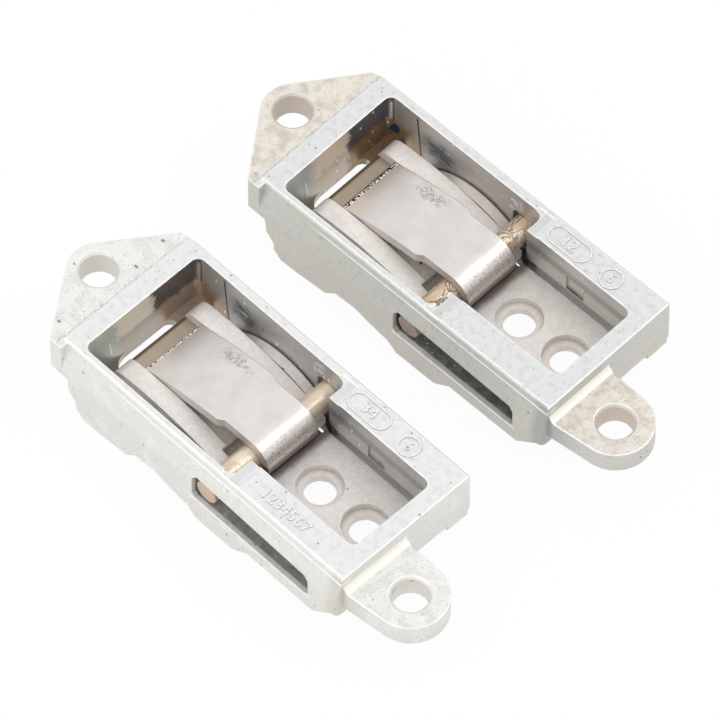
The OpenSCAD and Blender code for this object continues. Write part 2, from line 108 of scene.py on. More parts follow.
# Lamps: name, azimuth and elevation in degrees, side in metres, watts
LAMPS = (("front_softbox", -10, 38, 0.30, 0.30), ("back_softbox", 138, 54, 0.16, 0.18))
LAMP_DISTANCE = 0.35

# Strength of the surroundings from below to above, and the floor's side in metres and share of shadow
SKY_LOW, SKY_HIGH = 0.40, 1.10
FLOOR_SIDE, FLOOR_SHADOW = 3.0, 0.06


def mount(name):
    """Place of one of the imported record's mounts."""
    found = [m for m in frame["record"]["mounts"] if m["name"] == name]
    return Vector(found[0]["pos_m"])


class Hinge:
    """A hinge's own frame: x from the window's flange-side wall, y from the rim's middle, z from its top."""

    def __init__(self, side):
        self.side = side
        start = mount(f"flange_bore_{side}")
        span = mount(f"lug_bore_{side}") - start
        own = Vector(LUG_HOLE) - Vector(FLANGE_HOLE)
        self.turn = math.atan2(span.y, span.x) - math.atan2(own.y, own.x)
        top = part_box(f"housing_{side}")[1].z
        self.origin = Vector((0, 0, 0))
        self.origin = Vector((start.x, start.y, top)) - self.out((*FLANGE_HOLE, 0))

    def out(self, point):
        """A point of the hinge's own millimetres in the part's frame."""
        x, y, z = (c * MM for c in point)
        c, s = math.cos(self.turn), math.sin(self.turn)
        return self.origin + Vector((c * x - s * y, s * x + c * y, z))


HINGES = {side: Hinge(side) for side in SIDES}


def rgb(red, green, blue):
    """Linear colour of display levels from 0 to 255."""
    return tuple((level / 255) ** DISPLAY_GAMMA for level in (red, green, blue)) + (1.0,)


def palette(**colours):
    """Linear colours by name."""
    return {name: rgb(*levels) for name, levels in colours.items()}


class Tree:
    """A material's node tree, with short calls for the nodes that the finishes are made of."""

    def __init__(self, name, hinge=None):
        self.material = bpy.data.materials.new(name)
        self.material.use_nodes = True
        self.tree = self.material.node_tree
        self.tree.nodes.clear()
        self.shader = self.add("BsdfPrincipled")
        output = self.add("OutputMaterial")
        self.link(self.shader.outputs[0], output.inputs["Surface"])
        coordinates = self.add("TexCoord").outputs["Object"]
        self.point = self.own_millimetres(coordinates, hinge)
        self.x, self.y, self.z = self.add("SeparateXYZ", {0: self.point}).outputs
        drift = PATTERN_DRIFT if hinge and hinge.side == "b" else (0, 0, 0)
        self.pattern = self.add("VectorMath", {0: self.point, 1: drift}, operation="ADD").outputs[0]

    def own_millimetres(self, coordinates, hinge):
        place = {"Vector": coordinates, "Scale": (MM, MM, MM)}
        if hinge:
            place["Location"] = hinge.origin
            place["Rotation"] = (0, 0, hinge.turn)
        return self.add("Mapping", place, vector_type="TEXTURE").outputs[0]

    def link(self, source, target):
        self.tree.links.new(source, target)

    def add(self, kind, values=None, **settings):
        made = self.tree.nodes.new("ShaderNode" + kind)
        for name, value in settings.items():
            setattr(made, name, value)
        for name, value in (values or {}).items():
            self.feed(made.inputs[name], value)
        return made

    def feed(self, socket, value):
        if isinstance(value, bpy.types.NodeSocket):
            self.link(value, socket)
        else:
            socket.default_value = value

    def set(self, name, value):
        """Gives one of the shader's inputs a value, a colour or a link."""
        self.feed(self.shader.inputs[name], value)

    def calc(self, operation, a, b=0.0, c=0.0, clamp=False):
        values = {0: a, 1: b, 2: c}
        return self.add("Math", values, operation=operation, use_clamp=clamp).outputs[0]

    def size(self, value):
        """The value without its sign."""
        return self.calc("ABSOLUTE", value)

    def times(self, *factors):
        product = factors[0]
        for factor in factors[1:]:
            product = self.calc("MULTIPLY", product, factor)
        return product

    def most(self, *values):
        top = values[0]
        for value in values[1:]:
            top = self.calc("MAXIMUM", top, value)
        return top

    def rest(self, share):
        """What a share leaves of one."""
        return self.calc("SUBTRACT", 1.0, share)

    def step(self, value, low, high, to_low=0.0, to_high=1.0):
        """Smooth change from to_low to to_high while the value goes from low to high."""
        values = {0: value, 1: low, 2: high, 3: to_low, 4: to_high}
        return self.add("MapRange", values, interpolation_type="SMOOTHSTEP").outputs[0]

    def fall(self, value, low, high):
        """Smooth change from one to zero while the value goes from low to high."""
        return self.step(value, low, high, 1.0, 0.0)

    def band(self, value, low, high, soft):
        """One between low and high, and zero beyond."""
        start = self.step(value, low - soft, low + soft)
        end = self.fall(value, high - soft, high + soft)
        return self.times(start, end)

    def noise(self, scale, detail=3.0, roughness=0.55, stretch=(1, 1, 1), distortion=0.0):
        """Soft noise from 0 to 1 with about that many features per millimetre."""
        point = self.add("VectorMath", {0: self.pattern, 1: stretch}, operation="MULTIPLY").outputs[0]
        values = {"Vector": point, "Scale": scale, "Detail": detail, "Roughness": roughness,
                  "Distortion": distortion}
        return self.add("TexNoise", values).outputs[0]

    def specks(self, scale, share, size=0.3, soft=0.1, stretch=(1, 1, 1)):
        """Small separate dots, on that share of the cells."""
        point = self.add("VectorMath", {0: self.pattern, 1: stretch}, operation="MULTIPLY").outputs[0]
        cells = self.add("TexVoronoi", {"Vector": point, "Scale": scale, "Randomness": 1.0})
        chosen, amount, _ = self.add("SeparateColor", {0: cells.outputs["Color"]}).outputs
        reach = self.calc("SUBTRACT", cells.outputs["Distance"], self.times(amount, size * 0.6))
        dot = self.fall(reach, size * 0.4 - soft, size * 0.4)
        return self.times(dot, self.calc("LESS_THAN", chosen, share))

    def spot(self, centre, radii, soft=0.5, wobble=0.0, scale=3.0):
        """One inside an ellipsoid with a soft, uneven edge."""
        away = self.add("VectorMath", {0: self.point, 1: centre}, operation="SUBTRACT").outputs[0]
        share = self.add("VectorMath", {0: away, 1: radii}, operation="DIVIDE").outputs[0]
        far = self.add("VectorMath", {0: share}, operation="LENGTH").outputs["Value"]
        if wobble:
            uneven = self.calc("SUBTRACT", self.noise(scale, 4.0), 0.5)
            far = self.calc("ADD", far, self.times(uneven, 2 * wobble))
        return self.fall(far, 1 - soft, 1.01)

    def mix(self, share, a, b):
        made = self.add("Mix", data_type="RGBA")
        sockets = {s.name: s for s in made.inputs if s.enabled}
        self.feed(sockets["Factor"], share)
        self.feed(sockets["A"], a)
        self.feed(sockets["B"], b)
        return [s for s in made.outputs if s.enabled][0]

    def blend(self, share, a, b):
        """Number that goes from a to b as the share goes from 0 to 1."""
        return self.add("MapRange", {"Value": share, "To Min": a, "To Max": b}).outputs[0]

    def faces(self):
        """How much a face looks along its own x, y and z, with its sign."""
        normal = self.add("NewGeometry").outputs["True Normal"]
        local = self.add("VectorTransform", {0: normal}, vector_type="NORMAL", convert_from="WORLD",
                         convert_to="OBJECT").outputs[0]
        return self.add("SeparateXYZ", {0: local}).outputs

    def edges(self, radius, low=0.02, high=0.25):
        """One along the outer and inner edges of the mesh, within that radius in millimetres."""
        rounded = self.add("Bevel", {"Radius": radius * MM}, samples=6).outputs[0]
        sharp = self.add("NewGeometry").outputs["Normal"]
        cosine = self.add("VectorMath", {0: rounded, 1: sharp}, operation="DOT_PRODUCT").outputs["Value"]
        return self.step(self.rest(cosine), low, high)

    def crevice(self, distance, dark=0.3, clear=0.75):
        """One in the mesh's own narrow corners and recesses, within that distance in millimetres."""
        node = self.add("AmbientOcclusion", {"Distance": distance * MM}, samples=6, only_local=True)
        return self.fall(node.outputs["AO"], dark, clear)

    def relief(self, height, depth, radius=0.05):
        """Bump of that depth in millimetres over softly rounded edges."""
        rounded = self.add("Bevel", {"Radius": radius * MM}, samples=6).outputs[0]
        values = {"Height": height, "Distance": depth * MM, "Normal": rounded}
        self.set("Normal", self.add("Bump", values).outputs[0])


# Colours of the two castings, which differ in tone in the photograph; their slot colours are painted shade
CAST = {
    "a": palette(
        rim=(223, 225, 224), dull=(203, 205, 203), flange=(230, 224, 214), clouds=(206, 198, 186),
        # The first casting's sides and skirt are darker than the second's: painted shade on the same metal
        side=(208, 208, 203), stain=(213, 210, 198), skirt=(208, 205, 198), corner=(172, 175, 174),
        bore=(216, 205, 195), slot=(58, 54, 53), slot_pale=(96, 92, 90), rail=(198, 195, 189),
        pit=(112, 92, 78)),
    "b": palette(
        rim=(230, 231, 230), dull=(213, 214, 214), flange=(236, 236, 232), clouds=(221, 221, 216),
        side=(230, 230, 225), stain=(238, 237, 230), skirt=(226, 225, 219), corner=(210, 207, 199),
        bore=(230, 226, 220), slot=(112, 110, 108), slot_pale=(142, 140, 138), rail=(176, 175, 173),
        pit=(84, 82, 80)),
}

# Colours on the polished walls inside the windows: grease and rust, painted reflections on the end wall and
# a painted highlight in one corner
WALL = {
    "a": palette(
        satin=(236, 219, 199), low=(200, 186, 168), near=(186, 188, 184), oil=(92, 90, 94),
        brown=(146, 122, 92), corner=(240, 230, 214), far=(184, 178, 172), blotch=(92, 98, 106),
        far_low=(172, 144, 112)),
    "b": palette(
        satin=(240, 232, 217), low=(186, 176, 162), near=(192, 198, 190), oil=(98, 92, 90),
        brown=(182, 164, 148), corner=(212, 190, 166), far=(182, 180, 176), blotch=(84, 90, 96),
        far_low=(176, 152, 126)),
}

# Colours of dirt, ink and scratches on both castings, and of their marks, with painted shadow by the pin and
# painted shade on the marks' flanks
DIRT = palette(
    scratch=(250, 250, 248), streak=(196, 196, 194), groove=(34, 28, 25), pale_grease=(236, 236, 236),
    dark_grease=(58, 44, 38), scuff=(226, 222, 214), pale_speck=(244, 242, 238), dark_speck=(52, 46, 44),
    window_ink=(32, 74, 104), bore_ink=(120, 176, 206), wall=(188, 185, 180), wall_low=(104, 104, 102),
    slot_blot=(30, 27, 26), slot_chip=(214, 212, 208), ledge=(128, 122, 112), ledge_rust=(86, 70, 54),
    mark_flank=(140, 142, 142))

# Colours of the sintered parts and their dirt, of the brown bar on the pressure frame, which is partly
# painted shade, of painted shade in creases and by the pin, and of painted highlights on edges and grain
STEEL = palette(
    light=(248, 243, 239), mottle=(238, 231, 226), grain=(192, 182, 177), cloud=(212, 200, 190),
    bright=(250, 246, 244), pit=(84, 72, 66), crevice=(84, 68, 60), bar_front=(96, 78, 64),
    bar=(168, 150, 130), bar_pale=(196, 184, 168), arm_grease=(64, 48, 41), plate_grease=(84, 66, 58))

# Colours of the two band springs, with painted shade under the bend, painted glints and a highlight on the
# crimp, and a paler tip as painted light
SPRING = palette(
    light=(228, 223, 219), cloud=(218, 213, 209), rolled=(196, 190, 186), rub=(160, 150, 142),
    scratch=(252, 250, 248), grains=(170, 150, 132), under=(122, 110, 104), bead=(62, 52, 46),
    bead_bright=(250, 246, 242), tan_a=(234, 216, 192), tan_b=(238, 232, 225), lip_a=(90, 78, 68),
    lip_b=(250, 248, 246))

# Colours of the grease on the pins and in its creases, and of the pins' ends, darker partly as painted shade
PIN = {
    "a": palette(low=(216, 188, 158), high=(255, 242, 224), crease=(150, 116, 84), end=(104, 88, 78)),
    "b": palette(low=(226, 206, 182), high=(244, 228, 208), end=(190, 162, 138)),
}

# Painted highlights: white on polished edges, on the rim's lower edge and the slots' sills, on the lug's
# fillet and on the cast marks' tops
WHITE = rgb(255, 255, 255)
BRIGHT_METAL = rgb(252, 252, 250)
BRIGHT_FILLET = rgb(255, 251, 243)
BRIGHT_MARK = rgb(246, 247, 247)

# How far down the window's painted corner highlight reaches, and how far the crimp goes in from the spring's
# tip
CORNER_REACH = {"a": -1.9, "b": -3.2}
CRIMP_DEPTH = {"a": 0.28, "b": 0.17}

# Painted shade on arm and plate, by the spring and pin: its share and colour
GREASE = {"support_arm": (0.9, STEEL["arm_grease"]), "attachment_plate": (0.8, STEEL["plate_grease"])}


def around(t, centre):
    """Distance from an upright axis in millimetres."""
    away = t.add("VectorMath", {0: t.point, 1: (*centre, 0)}, operation="SUBTRACT").outputs[0]
    flat = t.add("VectorMath", {0: away, 1: (1, 1, 0)}, operation="MULTIPLY").outputs[0]
    return t.add("VectorMath", {0: flat}, operation="LENGTH").outputs["Value"]


def end_wall_marks(t, side, colour, smear):
    """The wall at the flange's end: painted reflections, tan and a dark patch towards the far corner, a
    brown stain below the patch and a bright scratch.
    """
    tone = WALL[side]
    wave = t.times(t.calc("SUBTRACT", smear, 0.5), 1.4)
    y, z = t.calc("ADD", t.y, wave), t.calc("ADD", t.z, wave)
    wall = t.band(t.x, -0.1, 0.3, 0.05)
    # Painted reflections: tan across the wall, darker low down, and a dark patch towards the far corner
    # above a brown stain
    tan = t.mix(t.step(z, -2.0, -1.5), tone["low"], tone["satin"])
    wet = t.mix(t.step(z, -2.1, -1.6), tone["brown"], tone["oil"])
    own = t.mix(t.step(y, 0.6, 1.0), tan, wet)
    own = t.mix(t.fall(y, -2.2, -1.4), own, tone["near"])
    slant = t.calc("ADD", t.y, t.times(t.z, 0.12))
    scratch = t.times(t.band(slant, -2.56, -2.5, 0.02), t.band(t.z, -2.7, -1.5, 0.2))
    return t.mix(wall, colour, t.mix(scratch, own, DIRT["scratch"]))


def far_wall_marks(t, side, colour, smear):
    """The long wall behind the spring: a dark blotch, pale streaks, a slanting groove and pale grease."""
    tone = WALL[side]
    wave = t.times(t.calc("SUBTRACT", smear, 0.5), 1.2)
    wall = t.band(t.y, WINDOW_FAR - 0.1, WINDOW_FAR + 0.1, 0.02)
    low = t.fall(t.calc("ADD", t.z, wave), -2.6, -1.7)
    beside = t.mix(low, tone["far"], tone["far_low"])
    own = t.mix(t.step(t.x, 2.0, 2.6), beside, tone["far"])
    blotch = t.spot(*SPOTS["far_blotch"], 0.7, 0.5, 2.0)
    own = t.mix(blotch, own, tone["blotch"])
    streaks = t.noise(2.0, 4.0, 0.6, stretch=(0.5, 1, 2.5), distortion=1.0)
    own = t.mix(t.times(t.step(streaks, 0.56, 0.66), t.step(t.x, 2.2, 3.0)), own, DIRT["streak"])
    slant = t.calc("ADD", t.x, t.times(t.z, 0.089))
    groove = t.times(t.band(slant, 1.83, 1.94, 0.02), t.band(t.z, -3.7, -0.3, 0.05))
    own = t.mix(groove, own, DIRT["groove"])
    grease = t.times(t.spot(*SPOTS["far_grease"], 0.5, 0.8, 5.0), t.step(smear, 0.45, 0.55))
    own = t.mix(grease, own, DIRT["pale_grease"])
    return t.mix(wall, colour, own)


def window_corners(t, side, colour):
    """Painted highlight on the upright corner at the flange's end, and painted shadow in the corner by the
    pin.
    """
    # Painted highlight: the upright corner fillet at the flange's end catching the light
    corner = t.times(t.band(t.x, 0.1, 0.2, 0.06), t.step(t.y, WINDOW_FAR - 0.4, WINDOW_FAR - 0.3))
    corner = t.times(corner, t.band(t.z, CORNER_REACH[side], -0.4, 0.15))
    colour = t.mix(corner, colour, WALL[side]["corner"])
    # Painted shadow in the window's corner under the pin
    by_pin = t.spot(*SPOTS["pin_corner"], 0.5, 0.4, 3.0)
    return t.mix(t.times(by_pin, 0.9), colour, DIRT["dark_grease"])


def wall_specks(t, side, colour):
    """Scuffs, pale and dark specks on the window's walls, and a spot of blue ink on one hinge."""
    scuff = t.noise(6.0, 4.0, 0.7, stretch=(1, 1, 0.5), distortion=1.2)
    colour = t.mix(t.step(scuff, 0.6, 0.72, 0.0, 0.45), colour, DIRT["scuff"])
    colour = t.mix(t.specks(3.4, 0.2, 0.3, 0.1, stretch=(1, 1, 0.6)), colour, DIRT["pale_speck"])
    colour = t.mix(t.specks(2.6, 0.2, 0.22, 0.08), colour, DIRT["dark_speck"])
    if side == "a":
        ink = t.spot(*SPOTS["window_ink"], 0.35, 0.5, 4.0)
        colour = t.mix(ink, colour, DIRT["window_ink"])
    return colour


def window_walls(t, side, mottle):
    """Colour of the polished walls inside the window, with painted reflections, a painted corner highlight
    and painted shadow by the pin.
    """
    smear = t.noise(1.7, 4.0, 0.6, distortion=0.8)
    colour = t.mix(mottle, CAST[side]["rail"], DIRT["wall"])
    lower = t.band(t.z, -1.5, -0.9, 0.2)
    colour = t.mix(t.times(lower, 0.5), colour, DIRT["wall_low"])
    colour = far_wall_marks(t, side, colour, smear)
    colour = end_wall_marks(t, side, colour, smear)
    colour = window_corners(t, side, colour)
    return wall_specks(t, side, colour)


def slot_wall(t, side, colour, mottle):
    """Blind slots in the long sides: painted shade within, with dark blots and pale chips, and a painted
    highlight along their lower edge.
    """
    along = t.band(t.x, SLOT_X - 0.1, SLOT_END + 0.1, 0.03)
    inside = t.times(along, t.band(t.z, SLOT_LOW - 0.02, SLOT_HIGH + 0.02, 0.02),
                     t.fall(t.size(t.y), 4.76, 4.8))
    # Painted shade deep inside the slot
    deep = t.times(inside, t.fall(t.size(t.y), 4.62, 4.74))
    shade = t.mix(t.step(mottle, 0.35, 0.65), CAST[side]["slot"], CAST[side]["slot_pale"])
    colour = t.mix(t.times(deep, 0.92), colour, shade)
    oily = t.noise(1.5, 4.0, 0.65, distortion=0.5)
    blots = t.times(deep, t.step(oily, 0.46, 0.58, 0.0, 0.85 if side == "a" else 0.35))
    colour = t.mix(blots, colour, DIRT["slot_blot"])
    chips = t.times(deep, t.specks(3.6, 0.2 if side == "a" else 0.05, 0.4, 0.15))
    colour = t.mix(t.times(chips, 0.7), colour, DIRT["slot_chip"])
    # Painted highlight along the slot's lower edge
    sill = t.times(along, t.band(t.z, SLOT_LOW - 0.12, SLOT_LOW - 0.01, 0.02))
    return t.mix(sill, colour, BRIGHT_METAL)


def rough_top(t, tone, grain):
    """Rough, clouded top of flange and lug."""
    clouds = t.noise(1.4, 5.0, 0.7)
    rough = t.mix(t.step(clouds, 0.42, 0.66), tone["flange"], tone["clouds"])
    return t.mix(t.step(grain, 0.56, 0.72, 0.0, 0.7), rough, tone["pit"])


def cast_tops(t, side, tone, mottle, grain):
    """Upward faces: smooth rim, rougher flange and lug with an uneven border between them."""
    rim = t.mix(t.step(mottle, 0.42, 0.72, 0.0, 0.8), tone["rim"], tone["dull"])
    rail = t.times(t.band(t.x, 10.9, 11.35, 0.02), t.step(t.size(t.y), 2.6, 2.7))
    rim = t.mix(t.times(rail, 0.7), rim, tone["dull"])
    edge = t.calc("ADD", t.x, t.times(t.calc("SUBTRACT", mottle, 0.5), 0.6))
    ears = t.most(t.fall(edge, RIM_A - 0.18, RIM_A - 0.08), t.step(t.x, RIM_B, RIM_B + 0.02))
    colour = t.mix(ears, rim, rough_top(t, tone, grain))
    line = t.times(t.band(edge, RIM_A - 0.17, RIM_A - 0.1, 0.02), t.step(grain, 0.4, 0.55))
    colour = t.mix(t.times(line, 0.4), colour, tone["pit"])
    if side == "b":
        for centre in PITS_B:
            pit = t.spot((*centre, FLANGE_TOP), PIT_RADII, 0.7, 0.5, 8.0)
            colour = t.mix(t.times(pit, 0.75), colour, tone["pit"])
    for hole, reach in ((FLANGE_HOLE, 1.0), (LUG_HOLE, 0.98)):
        ring = t.band(around(t, hole), reach + 0.1, reach + 0.2, 0.03)
        colour = t.mix(t.times(ring, t.step(mottle, 0.35, 0.55), 0.8), colour, tone["clouds"])
    return colour


def side_wear(t, tone, colour):
    """Mottled stains, dark strokes low on the skirt, a darker corner and a painted highlight line under the
    rim.
    """
    clouds = t.noise(0.9, 4.0, 0.65)
    fine = t.noise(3.8, 5.0, 0.7)
    colour = t.mix(t.step(clouds, 0.48, 0.68, 0.0, 0.9), colour, tone["stain"])
    colour = t.mix(t.step(fine, 0.5, 0.7, 0.0, 0.5), colour, tone["corner"])
    strokes = t.specks(2.0, 0.3, 0.3, 0.12, stretch=(1.8, 1, 0.6))
    low = t.fall(t.z, -2.6, -2.0)
    colour = t.mix(t.times(strokes, low, t.step(fine, 0.4, 0.55), 0.6), colour, tone["pit"])
    corner = t.times(t.step(t.x, 18.2, 18.9), t.fall(t.y, -4.5, -4.2))
    colour = t.mix(t.times(corner, 0.8), colour, tone["corner"])
    # Painted highlight along the lower edge of the rim's chamfer
    second = t.times(t.band(t.z, -0.52, -0.41, 0.02), t.step(fine, 0.3, 0.44), t.step(t.x, 2.0, 4.0),
                     t.fall(t.y, -4.0, -3.9))
    return t.mix(second, colour, BRIGHT_METAL)


def cast_sides(t, side, tone, nz):
    """Outer sides: band and skirt with wear and a painted highlight line, pinkish bores, one with ink, and a
    painted highlight on the fillet at the lug.
    """
    colour = t.mix(t.fall(t.z, -2.2, -1.7), tone["side"], tone["skirt"])
    colour = side_wear(t, tone, colour)
    bores = t.most(*[t.fall(around(t, hole), 1.06, 1.1) for hole in (FLANGE_HOLE, LUG_HOLE)])
    colour = t.mix(bores, colour, tone["bore"])
    if side == "b":
        ink = t.spot(*SPOTS["bore_ink"], 0.6, 0.5, 5.0)
        colour = t.mix(t.times(ink, 0.6), colour, DIRT["bore_ink"])
    # Painted highlight on the fillet at the lug's root
    root = t.times(t.step(t.x, RIM_B - 0.02, RIM_B), t.step(t.z, -1.16, -1.12), t.band(nz, 0.1, 0.95, 0.04))
    return t.mix(root, colour, BRIGHT_FILLET)


def window_masks(t, ny, nz, top):
    """One on the walls inside the window, and one on the ledge round its light gap."""
    upright = t.fall(t.size(nz), 0.6, 0.8)
    along = t.band(t.x, -0.04, WINDOW_L + 0.04, 0.01)
    across = t.band(t.y, WINDOW_NEAR - 0.04, WINDOW_FAR + 0.04, 0.01)
    inward = t.fall(t.times(t.y, ny), 0.5, 1.0)
    walls = t.times(along, across, upright, inward, t.fall(t.z, -0.03, -0.02))
    ledge = t.times(along, across, top, t.fall(t.z, -3.2, -3.0))
    return walls, ledge


def ledge_stain(t, side, grain):
    """Brown and grey on the window's ledge, darker in patches."""
    stained = t.mix(t.step(t.y, -3.0, 1.5), DIRT["ledge"], WALL[side]["brown"])
    return t.mix(t.step(grain, 0.5, 0.7, 0.0, 0.6), stained, DIRT["ledge_rust"])


def polished_edges(t, grain):
    """One along the rubbed, polished edges of the rim and of the lug's top; the white on them is painted
    highlight.
    """
    edges = t.times(t.edges(0.16, 0.01, 0.06), t.step(grain, 0.28, 0.42))
    lug_top = t.times(t.band(t.z, -1.24, -1.08, 0.02), t.step(t.x, RIM_B, RIM_B + 0.2))
    return t.times(edges, t.most(t.step(t.z, -0.16, -0.06), lug_top))


def cast_metal(side):
    """Matte die-cast metal of a housing, with polished walls and grease inside its window, painted shade in
    its slots and painted highlights on its edges.
    """
    t = Tree(f"cast_metal_{side}", HINGES[side])
    tone = CAST[side]
    _, ny, nz = t.faces()
    mottle = t.noise(2.6, 5.0, 0.65)
    grain = t.noise(9.0, 5.0, 0.7)
    top = t.step(nz, 0.95, 0.98)
    colour = t.mix(top, cast_sides(t, side, tone, nz), cast_tops(t, side, tone, mottle, grain))
    colour = slot_wall(t, side, colour, mottle)
    pits = t.most(t.specks(2.1, 0.13, 0.22, 0.09), t.specks(5.0, 0.2, 0.24, 0.1))
    colour = t.mix(t.times(pits, t.step(mottle, 0.4, 0.56), 0.8), colour, tone["pit"])
    inside, ledge = window_masks(t, ny, nz, top)
    colour = t.mix(inside, colour, window_walls(t, side, mottle))
    colour = t.mix(ledge, colour, ledge_stain(t, side, grain))
    shine = polished_edges(t, grain)
    # Painted highlight: white on the polished edges
    t.set("Base Color", t.mix(shine, colour, WHITE))
    t.set("Metallic", t.blend(shine, 0.5, 1.0))
    t.set("Roughness", t.blend(t.most(inside, shine), 0.58, 0.3))
    height = t.calc("ADD", t.times(grain, 0.6), t.times(pits, -1.0))
    height = t.calc("ADD", height, t.times(mottle, 1.2))
    t.relief(t.times(height, t.blend(inside, 1.0, 0.35)), 0.03, 0.09)
    return t.material


def frame_bar(t, colour, cloud):
    """Brown, oily bar of the pressure frame, in front of the spring's tip, darkened as painted shade, with a
    darker front face.
    """
    # Painted shade: the bar lies low between the rails, with a darker front face
    bar = t.times(t.band(t.x, 0.8, 2.6, 0.02), t.band(t.y, -1.95, 2.15, 0.05), t.band(t.z, -2.9, -2.7, 0.03))
    oily = t.mix(cloud, STEEL["bar"], STEEL["bar_pale"])
    return t.mix(bar, colour, t.mix(t.step(t.x, 0.96, 1.12), STEEL["bar_front"], oily))


def dark_grease(t, part, cloud):
    """Where painted shade goes: the arm's end by the pin, or the plate's root under the spring's bend."""
    if part == "support_arm":
        return t.spot(*SPOTS["arm_end"], 0.4)
    return t.band(t.calc("ADD", t.x, t.times(cloud, 0.5)), 10.0, 11.3, 0.25)


def steel_grain(t, grain, mottle, cloud):
    """Pinkish grey colour with clouds and a sparkling grain, the sparkle painted as glints."""
    colour = t.mix(t.step(mottle, 0.35, 0.7), STEEL["light"], STEEL["mottle"])
    colour = t.mix(t.step(grain, 0.5, 0.75, 0.0, 0.5), colour, STEEL["grain"])
    colour = t.mix(t.step(cloud, 0.5, 0.8, 0.0, 0.25), colour, STEEL["cloud"])
    # Painted glints on the sintered grain
    sparkle = t.specks(9.0, 0.2, 0.4, 0.2)
    return t.mix(t.times(sparkle, 0.8), colour, STEEL["bright"])


def sintered_steel(side, part):
    """Sintered steel of an arm, plate or pressure frame, with painted shade where it meets the spring and in
    its creases, and painted highlights on its edges and grain.
    """
    t = Tree(f"{part}_steel_{side}", HINGES[side])
    grain = t.noise(13.0, 4.0, 0.75)
    mottle = t.noise(3.5, 4.0, 0.6)
    cloud = t.noise(0.7, 3.0)
    colour = steel_grain(t, grain, mottle, cloud)
    pits = t.specks(1.7, 0.16, 0.17, 0.05)
    colour = t.mix(t.times(pits, 0.85), colour, STEEL["pit"])
    # Painted highlight along the part's edges
    worn = t.edges(0.06)
    if part == "pressure_frame":
        colour = frame_bar(t, colour, cloud)
    else:
        # Painted shade: the arm's end by the pin and the plate's root under the spring's bend
        greasy = dark_grease(t, part, cloud)
        share, dark = GREASE[part]
        colour = t.mix(t.times(greasy, share), colour, dark)
        worn = t.times(worn, t.rest(greasy))
    # Painted shade: darker in the part's own narrow corners and recesses, where shade falls
    colour = t.mix(t.times(t.crevice(0.5, 0.2, 0.62), 0.8), colour, STEEL["crevice"])
    t.set("Base Color", t.mix(t.times(worn, 0.6), colour, STEEL["bright"]))
    t.set("Metallic", 0.35)
    t.set("Roughness", t.blend(grain, 0.34, 0.55))
    height = t.calc("ADD", t.times(grain, 0.6), t.times(pits, -1.5))
    t.relief(t.calc("ADD", height, t.times(mottle, 0.4)), 0.035, 0.06)
    return t.material


def leaf_rubs(t):
    """Dark and bright scratches at one place of the spring's leaf."""
    rub = t.noise(1.6, 4.0, 0.6, distortion=1.5)
    place = t.spot(*SPOTS["leaf_rub"], 0.5, 0.6, 2.0)
    dark = t.times(place, t.band(rub, 0.49, 0.51, 0.008))
    bright = t.times(place, t.band(rub, 0.53, 0.55, 0.01))
    return dark, bright


def spring_bend(t, colour):
    """Tan grains on the bend round the pin, and painted shade on the bend's lower side."""
    sparkle = t.times(t.noise(9.0, 3.0, 0.7), t.step(t.x, PIN_X + 0.2, PIN_X + 0.8))
    colour = t.mix(t.step(sparkle, 0.48, 0.66, 0.0, 0.75), colour, SPRING["grains"])
    # Painted shade on the lower side of the bend
    under = t.times(t.step(t.x, PIN_X + 0.6, PIN_X + 0.9), t.fall(t.z, -2.25, -1.85))
    return t.mix(under, colour, SPRING["under"])


def crimped_tip(t, side, colour, bead, tip):
    """Row of dark beads and painted glints across the spring's tip, and a lip at its very end, dark on one
    hinge and a painted highlight on the other.
    """
    # Painted glints on the crimped beads
    beads = t.mix(t.step(bead, 0.47, 0.53), SPRING["bead"], SPRING["bead_bright"])
    lip = t.fall(t.x, BAND_TIP + 0.03, BAND_TIP + 0.06)
    colour = t.mix(tip, colour, beads)
    return t.mix(lip, colour, SPRING[f"lip_{side}"])


def spring_steel(side):
    """Satin band spring with scratches, a crimped end and, on one hinge, tan grease near its tip; on both,
    the tip is made paler as painted light.
    """
    t = Tree(f"spring_steel_{side}", HINGES[side])
    rolled = t.noise(5.0, 3.0, stretch=(0.25, 2.5, 1.0))
    cloud = t.noise(0.8, 4.0)
    colour = t.mix(t.step(cloud, 0.3, 0.7), SPRING["light"], SPRING["cloud"])
    colour = t.mix(t.step(rolled, 0.6, 0.85, 0.0, 0.25), colour, SPRING["rolled"])
    dark, bright = leaf_rubs(t)
    colour = t.mix(t.times(dark, 0.5), colour, SPRING["rub"])
    colour = t.mix(bright, colour, SPRING["scratch"])
    colour = spring_bend(t, colour)
    # Tan grease on one hinge, and on both a paler tip as painted light where it bends away from the light
    greased = t.times(t.fall(t.x, 2.2, 4.2), t.step(cloud, 0.2, 0.65))
    colour = t.mix(t.times(greased, 0.6), colour, SPRING[f"tan_{side}"])
    bead = t.noise(10.0, 1.0, 0.5, stretch=(0.4, 1, 1))
    border = BAND_TIP + CRIMP_DEPTH[side]
    tip = t.fall(t.calc("ADD", t.x, t.times(bead, 0.16)), border, border + 0.06)
    t.set("Base Color", crimped_tip(t, side, colour, bead, tip))
    t.set("Metallic", 0.85)
    t.set("Roughness", t.blend(cloud, 0.34, 0.46))
    height = t.calc("ADD", t.times(rolled, 0.2), t.times(t.calc("ADD", dark, bright), 1.2))
    t.relief(t.calc("ADD", height, t.times(tip, bead, 5.0)), 0.012, 0.08)
    return t.material


